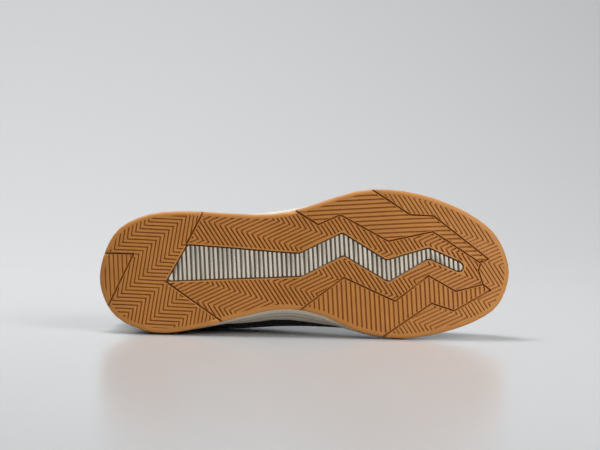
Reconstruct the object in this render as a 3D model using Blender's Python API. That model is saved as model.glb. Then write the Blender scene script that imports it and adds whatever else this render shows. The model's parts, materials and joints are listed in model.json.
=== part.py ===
"""Low-cut lace-up sneaker for the right foot, lying on its medial side.

The shoe is modelled upright in its own frame, in millimetres: x runs from the heel to the toe, y to the
medial side and z up from the tread. One empty then lays it down, sole edge and upper both on the floor.
"""

import math

import bmesh
import bpy
import numpy as np
from mathutils import Matrix, Vector

MM = 0.001

# Driving dimensions, in millimetres
SOLE_LENGTH = 301.5
BALL_WIDTH = 110.0
STACK_HEEL = 31.0
TOE_SPRING = 14.0
HEEL_BEVEL = 6.0
ARCH_LIFT = 2.0
COLLAR_HEIGHT = 96.0
INSTEP_HEIGHT = 98.0

# Tread contact: the two flat spots lie between these places along the sole
HEEL_FLAT_START = 32.0
HEEL_FLAT_END = 95.0
BALL_FLAT_START = 165.0
BALL_FLAT_END = 212.0
TOE_SPRING_POWER = 1.8

# Wall and layer thicknesses
OUTSOLE_THICKNESS = 4.0
INSOLE_THICKNESS = 4.0
UPPER_WALL = 2.2
COLLAR_PADDING = 4.6
TONGUE_THICKNESS = 4.5
FIT_GAP = 0.4

# Outsole and pad cuts, with the heights that every cutter spans
GROOVE_WIDTH = 1.2
GROOVE_DEPTH = 2.2
PAD_GAP = 1.0
PAD_RECESS = 0.8
PAD_SEAT = 2.0
RIB_PITCH = 3.32
RIB_GROOVE_WIDTH = 1.5
RIB_GROOVE_DEPTH = 1.8
# How far a rib leans towards the toe for each millimetre to the medial side
RIB_LEAN = 0.052
BEND_STEP = 12.0
CUT_BOTTOM = -20.0
CUT_TOP = 60.0

# Edge of the outsole from the tread up, in millimetres: inset from the outline, height
OUTSOLE_EDGE = ((2.4, 0.0), (0.8, 0.5), (0.0, 1.7), (0.3, OUTSOLE_THICKNESS))
# Edge of the insole from below, in millimetres: inset from the upper's inner face, height
INSOLE_EDGE = ((1.8, 0.0), (1.0, 0.8), (1.0, INSOLE_THICKNESS - 1.0), (2.2, INSOLE_THICKNESS))

# Direction square to the throat, up and forward
THROAT_UP = np.array((0.26, 0.0, 0.966))

# The tongue above the top eyelets, in millimetres: back, up, and share of its width
TONGUE_TOP = ((6.0, 4.5, 0.82), (11.0, 10.0, 0.80), (15.0, 16.5, 0.74), (17.5, 21.5, 0.60), (18.3, 23.5, 0.42))
# The tongue in front of the throat: share round the shoe, lowest and highest share of the way up the upper
TONGUE_FRONT = ((0.332, 0.80, 1.0), (0.345, 0.78, 0.94), (0.362, 0.74, 0.86))
# Shares of the way up the upper that the tongue's edges reach, and the shares round the vamp in front of it
TONGUE_EDGE = np.array((0.78, 0.90, 0.985))
TONGUE_VAMP = np.array((0.43, 0.5, 0.57))
TONGUE_CROWN = 0.07
TONGUE_ROWS = 10
# Shares of the tongue's thickness from its medial to its lateral edge
TONGUE_SECTION = np.array((0.35, 0.8, 1.0, 1.0, 1.0, 1.0, 1.0, 0.8, 0.35))
# Shares of the way over the throat at which tongue and laces have points
THROAT_WAYS = (0.25, 0.5, 0.75)

# Laces
LACE_WIDTH = 7.0
LACE_THICKNESS = 1.5
LACE_PAIRS = 6
LACE_CROWN = 0.10
LACE_CLEARANCE = 1.1
LACE_CROSSING = 0.8

# Points round every loop of the shoe, and how much closer they stand at the heel and the toe
LOOP_POINTS = 80
END_CROWDING = 0.45
SPAN_STEPS = 24

# Where the shoe balances when it lies on its side
BALANCE_POINT = (144.0, 0.0, 23.0)

# Outline of the tread seen from below, heel tip first, then the medial side
# columns: share of SOLE_LENGTH from the heel, share of BALL_WIDTH towards the medial side
OUTSOLE_OUTLINE = (
    (0.000, 0.059),   # heel tip
    (0.032, 0.294),
    (0.090, 0.396),
    (0.153, 0.433),   # medial heel
    (0.250, 0.395),
    (0.350, 0.321),
    (0.453, 0.270),   # medial waist
    (0.543, 0.317),
    (0.623, 0.416),
    (0.722, 0.469),   # medial ball
    (0.820, 0.436),
    (0.918, 0.343),
    (0.972, 0.236),
    (1.000, 0.014),   # toe tip
    (0.972, -0.216),
    (0.918, -0.348),
    (0.820, -0.468),
    (0.750, -0.514),
    (0.680, -0.531),  # lateral ball
    (0.623, -0.516),
    (0.543, -0.448),
    (0.466, -0.382),
    (0.390, -0.361),  # lateral waist
    (0.290, -0.373),
    (0.205, -0.383),  # lateral heel
    (0.115, -0.358),
    (0.038, -0.241),
)
OUTLINE_TOE_ROW = 13

# Thickness of outsole and midsole together, from the heel to the toe
# columns: share of SOLE_LENGTH, share of STACK_HEEL
STACK_PROFILE = (
    (0.00, 0.87),
    (0.15, 1.00),
    (0.30, 0.98),
    (0.50, 0.84),
    (0.70, 0.71),
    (0.85, 0.63),
    (1.00, 0.52),
)

# Sections of the last, one row for each place round the shoe, in millimetres
# columns: feather line x and y; top edge x, y and z; low handle out and up; top handle out and down
LAST_SECTIONS = (
    (7.0, 3.5, 10.0, 2.5, COLLAR_HEIGHT, 4.0, 24.0, 4.0, 22.0),           # heel back
    (34.0, 39.0, 30.0, 29.0, COLLAR_HEIGHT - 7.0, 0.5, 22.0, 5.0, 20.0),  # medial heel
    (75.0, 36.0, 68.0, 36.5, 76.0, 4.5, 16.0, 4.0, 14.0),                 # medial ankle
    (105.0, 36.3, 100.0, 33.0, 84.0, 8.5, 20.0, 6.0, 16.0),               # medial collar front
    (133.0, 33.8, 121.0, 24.0, INSTEP_HEIGHT, 11.0, 26.0, 13.0, 15.0),    # medial throat top
    (172.0, 38.6, 160.0, 17.5, 86.0, 6.5, 26.0, 17.0, 10.0),              # medial instep
    (212.0, 43.8, 195.0, 12.0, 71.0, 3.0, 24.0, 20.0, 5.0),               # medial ball
    (250.0, 40.5, 204.0, 9.0, 67.5, 3.0, 22.0, 30.0, 6.0),                # medial toe side
    (275.0, 31.3, 207.5, 5.0, 66.0, 2.5, 20.0, 38.0, 7.0),                # medial toe corner
    (293.5, 1.5, 208.5, -1.5, 65.5, 2.0, 19.0, 42.0, 7.0),                # toe tip
    (275.0, -30.0, 207.5, -8.0, 66.0, 2.5, 19.0, 38.0, 8.0),              # lateral toe corner
    (250.0, -44.3, 204.0, -12.0, 67.5, 3.0, 20.0, 30.0, 8.0),             # lateral toe side
    (208.0, -53.0, 195.0, -15.0, 71.0, 2.0, 22.0, 22.0, 8.0),             # lateral ball
    (168.0, -48.5, 160.0, -20.5, 86.0, 2.5, 24.0, 18.0, 13.0),            # lateral instep
    (130.0, -43.3, 121.0, -27.0, INSTEP_HEIGHT - 1.0, 3.5, 25.0, 12.0, 16.0),  # lateral throat top
    (103.0, -40.0, 100.0, -34.0, 82.0, 3.5, 19.0, 6.0, 16.0),             # lateral collar front
    (75.0, -35.5, 68.0, -34.0, 73.0, 3.0, 16.0, 4.0, 14.0),               # lateral ankle
    (34.0, -30.5, 30.0, -25.0, COLLAR_HEIGHT - 8.0, 3.5, 22.0, 5.0, 20.0),  # lateral heel
)
LAST_TOE_ROW = 9

# The window in the outsole through which the ribbed pad of the midsole shows, in millimetres
# columns: x, y, reach of the rounding
WINDOW_CORNERS = np.array((
    (64.4, -17.8, 2.0), (146.5, -11.4, 2.0), (178.3, -26.6, 2.0), (210.5, -6.3, 2.0), (241.7, -15.6, 2.0),
    (269.0, -3.7, 5.0), (265.8, 3.9, 5.0),  # round end under the toes
    (241.7, -6.5, 2.0), (211.8, 10.7, 2.0), (179.2, -8.8, 2.0), (149.0, 6.4, 2.0), (48.6, 10.2, 2.0),
))

# Grooves that part the tread into its blocks, in millimetres: x, y of each bend
TREAD_GROOVES = {
    "heel_tip": ((-2.0, -11.7), (25.2, -10.5), (4.6, 31.8)),
    "lateral_heel": ((78.0, -45.2), (63.2, -16.4)),
    "medial_heel": ((48.0, 9.2), (94.0, 42.1)),
    "lateral_forefoot": (
        (138.6, -45.8), (160.5, -32.0), (176.9, -39.2), (212.0, -19.7), (244.9, -27.0), (280.0, -4.6),
        (285.9, -7.7), (245.4, -38.7), (228.3, -39.3), (197.0, -60.0),
    ),
    "medial_forefoot": (
        (144.5, 32.8), (179.3, 7.0), (216.8, 24.4), (241.5, 5.6), (261.6, 16.8), (282.0, 11.2),
        (287.4, 15.4), (260.3, 31.1), (243.7, 25.8), (204.5, 52.6),
    ),
    "toe_link": ((280.6, -6.2), (278.4, 1.3), (282.6, 12.9)),
}

# The side of the midsole from the outsole to its top edge
# columns: share of the height, share of the way from the tread outline to the feather line, mm outwards
MIDSOLE_WALL = (
    (0.00, 0.00, -1.2),
    (0.05, 0.02, 0.0),
    (0.31, 0.22, 1.2),
    (0.34, 0.25, -0.3),  # lower groove
    (0.37, 0.28, 1.3),
    (0.57, 0.47, 1.3),
    (0.60, 0.50, -0.3),  # upper groove
    (0.63, 0.53, 1.2),
    (0.94, 0.92, 0.7),
    (1.00, 1.00, -0.6),
)
MIDSOLE_LEDGE = 1.6

# Shares round the shoe of the throat's top and front and of the first and last eyelets
THROAT_TOP = 0.229
THROAT_FRONT = 0.317
EYELET_TOP = 0.238
EYELET_FRONT = 0.312
# Share of the way up the upper of the eyelets
EYELET_DEPTH = 0.905

# Form of the upper: how far its sections lean away from the top edge, how its rim is rounded, and where on
# the way up the collar's padding swells and thins out
SECTION_LEAN = 10.0
RIM_ROUNDING = 0.35
UPPER_ROWS = 13
UPPER_LAST_ROW = 0.96
PADDING_SWELLS = (0.45, 0.80)
PADDING_THINS = (0.86, 1.0)
PADDING_AT_RIM = 0.55
PADDING_FADE = 0.06

# Edges sharper than this are shaded sharp
SHARP_ANGLE = math.radians(35.0)


def clear_scene():
    for obj in list(bpy.data.objects):
        bpy.data.objects.remove(obj)


def make_material(name, color, roughness):
    material = bpy.data.materials.new(name)
    material.use_nodes = True
    shader = material.node_tree.nodes["Principled BSDF"]
    shader.inputs["Base Color"].default_value = (*color, 1.0)
    shader.inputs["Roughness"].default_value = roughness
    shader.inputs["Metallic"].default_value = 0.0
    return material


def add_object(name, points, faces, material=None):
    """One mesh object from points in millimetres, its faces turned outwards."""
    mesh = bpy.data.meshes.new(name)
    mesh.from_pydata([Vector(p) * MM for p in points], [], faces)
    bm = bmesh.new()
    bm.from_mesh(mesh)
    bmesh.ops.recalc_face_normals(bm, faces=bm.faces)
    bm.to_mesh(mesh)
    bm.free()
    mesh.shade_smooth()
    mesh.set_sharp_from_angle(angle=SHARP_ANGLE)
    obj = bpy.data.objects.new(name, mesh)
    bpy.context.collection.objects.link(obj)
    if material:
        mesh.materials.append(material)
    return obj


def smooth_loop(rows):
    """Dense rows on a closed centripetal curve through the table's rows. The first two columns set the pace."""
    table = np.array(rows, float)
    before, after, beyond = (np.roll(table, shift, axis=0) for shift in (1, -1, -2))

    def pace(a, b):
        return np.sqrt(np.linalg.norm((b - a)[:, :2], axis=1))[:, None]

    d0, d1, d2 = pace(before, table), pace(table, after), pace(after, beyond)
    leave = d1 * ((table - before) / d0 - (after - before) / (d0 + d1) + (after - table) / d1)
    arrive = d1 * ((after - table) / d1 - (beyond - table) / (d1 + d2) + (beyond - after) / d2)
    spans = []
    for step in range(SPAN_STEPS):
        t = step / SPAN_STEPS
        spans.append((2 * t**3 - 3 * t**2 + 1) * table + (t**3 - 2 * t**2 + t) * leave
                     + (3 * t**2 - 2 * t**3) * after + (t**3 - t**2) * arrive)
    return np.stack(spans, axis=1).reshape(-1, table.shape[1])


def walk_loop(dense, toe_row, shares):
    """Rows at shares of the way round: 0 is the heel, 0.5 the toe, and the medial side lies between."""
    toe = toe_row * SPAN_STEPS
    halves = (dense[: toe + 1], np.vstack([dense[toe:], dense[:1]]))
    shares = np.asarray(shares, float) % 1.0
    found = np.empty((len(shares), dense.shape[1]))
    for half, rows in enumerate(halves):
        mine = (shares >= 0.5) == bool(half)
        way = 2 * shares[mine] - half
        eased = way - END_CROWDING * np.sin(2 * math.pi * way) / (2 * math.pi)
        run = np.concatenate([[0], np.cumsum(np.linalg.norm(np.diff(rows[:, :2], axis=0), axis=1))])
        for column in range(dense.shape[1]):
            found[mine, column] = np.interp(eased * run[-1], run, rows[:, column])
    return found


def plan_normals(points):
    """Outward directions in plan on a closed loop that runs heel, medial side, toe, lateral side."""
    along = np.roll(points, -1, axis=0) - np.roll(points, 1, axis=0)
    outward = np.stack([-along[:, 1], along[:, 0]], axis=1)
    return outward / np.linalg.norm(outward, axis=1)[:, None]


LOOP_SHARES = np.arange(LOOP_POINTS) / LOOP_POINTS
OUTLINE_DENSE = smooth_loop(np.array(OUTSOLE_OUTLINE) * (SOLE_LENGTH, BALL_WIDTH))
LAST_DENSE = smooth_loop(LAST_SECTIONS)


def outline_ring(inset):
    """Points of the tread's outline, moved inwards."""
    ring = walk_loop(OUTLINE_DENSE, OUTLINE_TOE_ROW, LOOP_SHARES)
    return ring - plan_normals(ring) * inset


def feather_ring(outset):
    """Points of the line where the upper meets the midsole, moved outwards."""
    ring = walk_loop(LAST_DENSE, LAST_TOE_ROW, LOOP_SHARES)[:, :2]
    return ring + plan_normals(ring) * outset


def ground(x):
    """Height of the tread over the floor of an upright shoe: heel bevel, arch and toe spring."""
    x = np.asarray(x, float)
    bevel = HEEL_BEVEL * np.clip((HEEL_FLAT_START - x) / HEEL_FLAT_START, 0, None) ** 2
    waist = np.clip((x - HEEL_FLAT_END) / (BALL_FLAT_START - HEEL_FLAT_END), 0, 1)
    spring = np.clip((x - BALL_FLAT_END) / (SOLE_LENGTH - BALL_FLAT_END), 0, None)
    return bevel + ARCH_LIFT * np.sin(math.pi * waist) ** 2 + TOE_SPRING * spring**TOE_SPRING_POWER


def stack_top(x):
    """Height of the midsole's top face."""
    share, part = np.array(STACK_PROFILE).T
    at = np.clip(np.asarray(x, float) / SOLE_LENGTH, 0, 1)
    fine = np.linspace(0, 1, 101)
    softened = np.convolve(np.pad(np.interp(fine, share, part), 6, mode="edge"), np.ones(13) / 13, "valid")
    return ground(x) + STACK_HEEL * np.interp(at, fine, softened)


def with_height(ring, heights):
    return np.column_stack([ring, heights])


def stack_solid(name, rings, material):
    """A solid from rings one above the other, closed below and above by strips across the shoe."""
    count = len(rings[0])
    faces = []
    for level in range(len(rings) - 1):
        low, high = level * count, (level + 1) * count
        for i in range(count):
            j = (i + 1) % count
            faces.append((low + i, low + j, high + j, high + i))
    for base, turn in ((0, 1), ((len(rings) - 1) * count, -1)):
        for i in range(count // 2):
            strip = [i, i + 1, (count - i - 1) % count, (count - i) % count]
            corners = list(dict.fromkeys(strip))
            faces.append(tuple(base + c for c in corners[::turn]))
    return add_object(name, np.vstack(rings), faces, material)


def sweep_solid(name, rings, material=None, closed=False):
    """A solid from like rings one after the other, joined into a hoop or closed by end faces."""
    count = len(rings[0])
    faces = []
    for station in range(len(rings) if closed else len(rings) - 1):
        here, there = station * count, ((station + 1) % len(rings)) * count
        for i in range(count):
            j = (i + 1) % count
            faces.append((here + i, here + j, there + j, there + i))
    if not closed:
        faces.append(tuple(range(count))[::-1])
        faces.append(tuple((len(rings) - 1) * count + i for i in range(count)))
    return add_object(name, np.vstack(rings), faces, material)


def hide_cutter(obj):
    obj.hide_render = True
    obj.display_type = "WIRE"
    return obj


def add_boolean(obj, other, operation):
    modifier = obj.modifiers.new(other.name, "BOOLEAN")
    modifier.object = hide_cutter(other)
    modifier.operation = operation
    modifier.solver = "EXACT"


def rounded_path(corners, reaches, steps=3):
    """A closed path with an arc-like curve of its own reach in place of each corner."""
    points = []
    count = len(corners)
    for i, (corner, reach) in enumerate(zip(corners, reaches)):
        ends = []
        for other in (corners[i - 1], corners[(i + 1) % count]):
            arm = other - corner
            ends.append(corner + arm * min(0.48, reach / np.linalg.norm(arm)))
        for step in range(steps + 1):
            t = step / steps
            points.append((1 - t) ** 2 * ends[0] + 2 * t * (1 - t) * corner + t**2 * ends[1])
    return np.array(points)


def inset_path(path, inset):
    """A closed path moved to its inner side by a distance, each corner along its mitre."""
    before = path - np.roll(path, 1, axis=0)
    after = np.roll(path, -1, axis=0) - path
    sides = []
    for run in (before, after):
        run = run / np.linalg.norm(run, axis=1)[:, None]
        sides.append(np.stack([-run[:, 1], run[:, 0]], axis=1))
    mitre = sides[0] + sides[1]
    mitre = mitre / (1 + np.sum(sides[0] * sides[1], axis=1))[:, None]
    return path + mitre * inset


def groove_cutter(name, bends):
    """A ribbon along the bends whose roof follows the tread at the groove's depth."""
    bends = [np.array(b) for b in bends]
    path = [bends[0]]
    for start, end in zip(bends, bends[1:]):
        pieces = max(1, int(np.linalg.norm(end - start) / BEND_STEP))
        path += [start + (end - start) * (k + 1) / pieces for k in range(pieces)]
    path = np.array(path)
    runs = np.diff(path, axis=0)
    runs = runs / np.linalg.norm(runs, axis=1)[:, None]
    before, after = np.vstack([runs[:1], runs]), np.vstack([runs, runs[-1:]])
    side_a = np.stack([-before[:, 1], before[:, 0]], axis=1)
    side_b = np.stack([-after[:, 1], after[:, 0]], axis=1)
    mitre = (side_a + side_b) / (1 + np.sum(side_a * side_b, axis=1))[:, None]
    rings = []
    for place, across in zip(path, mitre * GROOVE_WIDTH / 2):
        roof = float(ground(place[0])) + GROOVE_DEPTH
        left, right = place + across, place - across
        rings.append(np.array([(*left, CUT_BOTTOM), (*right, CUT_BOTTOM), (*right, roof), (*left, roof)]))
    return sweep_solid(name, rings)


def build_outsole(material):
    """Gum rubber plate with a rounded edge, a window for the pad and grooves between the tread blocks."""
    rings = []
    for inset, rise in OUTSOLE_EDGE:
        ring = outline_ring(inset)
        rings.append(with_height(ring, ground(ring[:, 0]) + rise))
    outsole = stack_solid("outsole", rings, material)
    window = rounded_path(WINDOW_CORNERS[:, :2], WINDOW_CORNERS[:, 2])
    ends = [with_height(window, np.full(len(window), z)) for z in (CUT_BOTTOM, CUT_TOP)]
    add_boolean(outsole, sweep_solid("window_cutter", ends), "DIFFERENCE")
    for name, bends in TREAD_GROOVES.items():
        add_boolean(outsole, groove_cutter(name + "_cutter", bends), "DIFFERENCE")
    return outsole


def build_midsole(material):
    """Foam layer with a grooved side. Its pad reaches down into the outsole's window and is ribbed across."""
    tread = outline_ring(0.6)
    feather = feather_ring(MIDSOLE_LEDGE)
    outward = plan_normals(tread)
    base = ground(tread[:, 0]) + OUTSOLE_THICKNESS + FIT_GAP
    top = stack_top(feather[:, 0])
    rings = []
    for height, inwards, bulge in MIDSOLE_WALL:
        ring = tread + (feather - tread) * inwards + outward * bulge
        rings.append(with_height(ring, base + (top - base) * height))
    midsole = stack_solid("midsole", rings, material)
    pad = rounded_path(inset_path(WINDOW_CORNERS[:, :2], PAD_GAP), WINDOW_CORNERS[:, 2])
    add_boolean(midsole, build_pad(pad), "UNION")
    add_boolean(midsole, build_rib_cutters(pad[:, 0].min(), pad[:, 0].max()), "DIFFERENCE")
    return midsole


def build_pad(path):
    """The midsole's pad: a prism over the window, cut across often enough to bend with the tread."""
    seat = OUTSOLE_THICKNESS + FIT_GAP + PAD_SEAT
    bm = bmesh.new()
    low = [bm.verts.new((*p, PAD_RECESS)) for p in path]
    high = [bm.verts.new((*p, seat)) for p in path]
    for i in range(len(path)):
        j = (i + 1) % len(path)
        bm.faces.new((low[i], low[j], high[j], high[i]))
    bm.faces.new(low[::-1])
    bm.faces.new(high)
    for x in np.arange(path[:, 0].min() + BEND_STEP, path[:, 0].max(), BEND_STEP):
        geometry = bm.verts[:] + bm.edges[:] + bm.faces[:]
        bmesh.ops.bisect_plane(bm, geom=geometry, plane_co=(x, 0.0, 0.0), plane_no=(1.0, 0.0, 0.0))
    for vert in bm.verts:
        vert.co.z += float(ground(vert.co.x))
    bm.verts.index_update()
    points = [vert.co.copy() for vert in bm.verts]
    faces = [tuple(vert.index for vert in face.verts) for face in bm.faces]
    bm.free()
    return add_object("pad_former", points, faces)


def build_rib_cutters(start, end):
    """Bars across the pad that leave its ribs standing between them."""
    points, faces = [], []
    for x in np.arange(start + RIB_PITCH, end - RIB_PITCH / 2, RIB_PITCH):
        roof = float(ground(x)) + PAD_RECESS + RIB_GROOVE_DEPTH
        base = len(points)
        for z in (CUT_BOTTOM, roof):
            for across, along in ((-0.5, -0.5), (0.5, -0.5), (0.5, 0.5), (-0.5, 0.5)):
                y = along * BALL_WIDTH
                points.append((x + across * RIB_GROOVE_WIDTH + RIB_LEAN * y, y, z))
        for quad in ((3, 2, 1, 0), (4, 5, 6, 7), (0, 1, 5, 4), (1, 2, 6, 5), (2, 3, 7, 6), (3, 0, 4, 7)):
            faces.append(tuple(base + corner for corner in quad))
    return add_object("rib_cutters", points, faces)


def upper_grid(shares, depths):
    """Outer face of the upper: shares go round the shoe, depths from the feather line to the top edge."""
    rows = walk_loop(LAST_DENSE, LAST_TOE_ROW, shares)
    step = 1e-3
    ahead = walk_loop(LAST_DENSE, LAST_TOE_ROW, np.asarray(shares) + step)[:, :2]
    behind = walk_loop(LAST_DENSE, LAST_TOE_ROW, np.asarray(shares) - step)[:, :2]
    along = ahead - behind
    outward = np.stack([-along[:, 1], along[:, 0]], axis=1)
    outward /= np.linalg.norm(outward, axis=1)[:, None]
    foot = with_height(rows[:, :2], stack_top(rows[:, 0]) + FIT_GAP)
    edge = rows[:, 2:5]
    spread = foot[:, :2] - edge[:, :2] + outward * SECTION_LEAN
    spread /= np.linalg.norm(spread, axis=1)[:, None]
    low = foot + with_height(outward * rows[:, 5:6], rows[:, 6])
    high = edge + with_height(spread * rows[:, 7:8], -rows[:, 8])
    t = np.asarray(depths, float)[None, :, None]
    corners = [corner[:, None, :] for corner in (foot, low, high, edge)]
    weights = ((1 - t) ** 3, 3 * t * (1 - t) ** 2, 3 * t**2 * (1 - t), t**3)
    return sum(weight * corner for weight, corner in zip(weights, corners))


def upper_offset(shares, depths, distance):
    """Points a distance outside the upper's outer face. The distance is one number or a grid."""
    shares, depths = np.asarray(shares, float), np.asarray(depths, float)
    turn, rise = 2e-3, 1e-2
    around = upper_grid(shares + turn, depths) - upper_grid(shares - turn, depths)
    upward = upper_grid(shares, depths + rise) - upper_grid(shares, depths - rise)
    normal = np.cross(upward, around)
    normal /= np.linalg.norm(normal, axis=2)[:, :, None]
    distance = np.broadcast_to(np.asarray(distance, float), normal.shape[:2])
    return upper_grid(shares, depths) + normal * distance[:, :, None]


def smooth_step(low, high, value):
    t = np.clip((value - low) / (high - low), 0, 1)
    return t * t * (3 - 2 * t)


def wall_thickness(shares, depths):
    """The upper's wall: even over the foot, padded round the collar and thin again at its top edge."""
    from_heel = np.minimum(shares, 1 - np.asarray(shares))
    collar = 1 - smooth_step(THROAT_TOP - PADDING_FADE, THROAT_TOP, from_heel)
    thinned = 1 - (1 - PADDING_AT_RIM) * smooth_step(*PADDING_THINS, np.asarray(depths))
    padding = COLLAR_PADDING * smooth_step(*PADDING_SWELLS, np.asarray(depths)) * thinned
    return UPPER_WALL + collar[:, None] * padding[None, :]


def build_upper(material):
    """One hollow wall round the foot, open at the collar and throat and open underneath."""
    depths = np.append(np.linspace(0.0, UPPER_LAST_ROW, UPPER_ROWS), 1.0)
    wall = wall_thickness(LOOP_SHARES, depths)
    outer = upper_offset(LOOP_SHARES, depths, 0.0)
    inner = upper_offset(LOOP_SHARES, depths, -wall)
    rings = []
    for outside, inside, thickness in zip(outer, inner, wall):
        crown = (outside[-1] + inside[-1]) / 2
        rise = outside[-1] - outside[-2]
        crown = crown + rise / np.linalg.norm(rise) * thickness[-1] * RIM_ROUNDING
        rings.append(np.vstack([outside, crown[None], inside[::-1]]))
    return sweep_solid("upper", rings, material, closed=True)


def build_insole(material):
    """A cushioned sheet that lies on the midsole inside the upper."""
    seat = stack_top(feather_ring(0.0)[:, 0]) + FIT_GAP
    rings = [with_height(feather_ring(-UPPER_WALL - inset), seat + rise) for inset, rise in INSOLE_EDGE]
    return stack_solid("insole", rings, material)


def tongue_row(share):
    """Points across the tongue's upper face at one place of the throat, medial side first."""
    inside = -wall_thickness(np.array([share]), TONGUE_EDGE) - FIT_GAP
    medial = upper_offset([share], TONGUE_EDGE, inside)[0]
    lateral = upper_offset([-share], TONGUE_EDGE, inside)[0][::-1]
    down_throat = (share - THROAT_TOP) / (THROAT_FRONT - THROAT_TOP)
    crown = TONGUE_CROWN * (1 - down_throat**2) * np.linalg.norm(medial[-1] - lateral[0])
    gap = []
    for way in THROAT_WAYS:
        rise = THROAT_UP * crown * math.sin(math.pi * way)
        gap.append(medial[-1] * (1 - way) + lateral[0] * way + rise)
    return np.vstack([medial, gap, lateral])


def tongue_front_row(share, low, high):
    """Points across the tongue where it runs on under the vamp, in front of the throat."""
    depths = np.linspace(low, high, len(TONGUE_EDGE))
    inside = -UPPER_WALL - 3 * FIT_GAP
    medial = upper_offset([share], depths, inside)[0]
    lateral = upper_offset([-share], depths, inside)[0][::-1]
    vamp = upper_offset(TONGUE_VAMP, depths[-1:], inside)[:, 0]
    return np.vstack([medial, vamp, lateral])


def build_tongue(material):
    """A padded strip under the throat that stands out above the top eyelets."""
    rows = [tongue_row(share) for share in np.linspace(THROAT_TOP, THROAT_FRONT, TONGUE_ROWS)]
    rows += [tongue_front_row(*place) for place in TONGUE_FRONT]
    top = rows[0]
    middle = top.mean(axis=0)
    for back, up, narrow in TONGUE_TOP:
        rows.insert(0, middle + (top - middle) * narrow + np.array((-back, 0.0, up)))
    faces = np.array(rows)
    normal = np.cross(np.gradient(faces, axis=1), np.gradient(faces, axis=0))
    normal /= np.linalg.norm(normal, axis=2)[:, :, None]
    normal *= np.sign(normal[:, :, 2].mean())
    rings = []
    for row, upward in zip(faces, normal):
        below = row - upward * (TONGUE_THICKNESS * TONGUE_SECTION)[:, None]
        rings.append(np.vstack([row, below[::-1]]))
    return sweep_solid("tongue", rings, material)


def eyelet_share(pair):
    """Share round the shoe of a pair of eyelets. Pair 0 is the top one."""
    return EYELET_TOP + (EYELET_FRONT - EYELET_TOP) * pair / (LACE_PAIRS - 1)


def lace_strap(name, from_pair, to_pair, side, lift):
    """A flat strap from one eyelet over the throat to an eyelet on the other side."""
    ends = []
    for pair, hand in ((from_pair, side), (to_pair, -side)):
        share = [hand * eyelet_share(pair)]
        ends.append((upper_offset(share, [EYELET_DEPTH], lift)[0, 0], upper_offset(share, [1.0], lift)[0, 0]))
    (start, start_lip), (end, end_lip) = ends
    reach = np.linalg.norm(end_lip - start_lip)
    path = [start, start_lip]
    for way in THROAT_WAYS:
        rise = THROAT_UP * LACE_CROWN * reach * math.sin(math.pi * way)
        path.append(start_lip * (1 - way) + end_lip * way + rise)
    path = np.array(path + [end_lip, end])
    across = np.cross(THROAT_UP, end - start)
    across *= LACE_WIDTH / 2 / np.linalg.norm(across)
    rings = []
    for place, run in zip(path, np.gradient(path, axis=0)):
        thick = np.cross(run, across)
        thick *= LACE_THICKNESS / 2 / np.linalg.norm(thick)
        rings.append(np.array([place - across - thick, place + across - thick, place + across + thick,
                               place - across + thick]))
    return sweep_solid(name, rings)


def build_laces(material):
    """Criss-cross lacing from the lowest to the top eyelets, joined where the straps cross."""
    base = LACE_CLEARANCE + LACE_THICKNESS / 2
    last = LACE_PAIRS - 1
    laces = lace_strap("laces", last, last, 1, base + LACE_CROSSING / 2)
    laces.data.materials.append(material)
    for pair in range(last):
        for side, lift in ((1, base), (-1, base + LACE_CROSSING)):
            strap = lace_strap(f"lace_former_{pair}_{side}", pair + 1, pair, side, lift)
            add_boolean(laces, strap, "UNION")
    return laces


def lay_down(pieces):
    """Turns the upright shoe onto the hull face under its balance point and sets it on the floor."""
    bpy.context.view_layer.update()
    graph = bpy.context.evaluated_depsgraph_get()
    hull = bmesh.new()
    for piece in pieces:
        for vert in piece.evaluated_get(graph).data.vertices:
            hull.verts.new(vert.co)
    bmesh.ops.convex_hull(hull, input=hull.verts)
    hull.normal_update()
    balance = Vector(BALANCE_POINT) * MM
    for face in hull.faces:
        foot = balance + face.normal * face.normal.dot(face.verts[0].co - balance)
        medial = face.normal.y > max(abs(face.normal.x), abs(face.normal.z))
        if medial and bmesh.geometry.intersect_face_point(face, foot):
            down = face.normal.copy()
    toe = (Vector((1.0, 0.0, 0.0)) - down * down.x).normalized()
    turn = Matrix((toe, (-down).cross(toe), -down))
    corners = np.array([turn @ vert.co for vert in hull.verts])
    hull.free()
    low, high = corners.min(axis=0), corners.max(axis=0)
    footprint = Vector((*(-(low + high)[:2] / 2), -low[2]))
    rest = bpy.data.objects.new("shoe_on_its_side", None)
    bpy.context.collection.objects.link(rest)
    rest.matrix_world = Matrix.Translation(footprint) @ turn.to_4x4()
    for obj in bpy.data.objects:
        if obj is not rest:
            obj.parent = rest


def main():
    clear_scene()
    gum = make_material("gum_rubber", (0.42, 0.20, 0.07), 0.55)
    foam = make_material("midsole_foam", (0.52, 0.48, 0.43), 0.7)
    knit = make_material("black_knit", (0.012, 0.012, 0.013), 0.85)
    sheet = make_material("insole_cloth", (0.03, 0.03, 0.032), 0.9)
    cord = make_material("black_lace", (0.02, 0.02, 0.021), 0.8)
    sole = [build_outsole(gum), build_midsole(foam), build_insole(sheet)]
    lay_down(sole + [build_upper(knit), build_tongue(knit), build_laces(cord)])


main()
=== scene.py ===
import json
import math

import bmesh
import bpy
from mathutils import Matrix, Vector
from mathutils.bvhtree import BVHTree
from mathutils.geometry import interpolate_bezier


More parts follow.
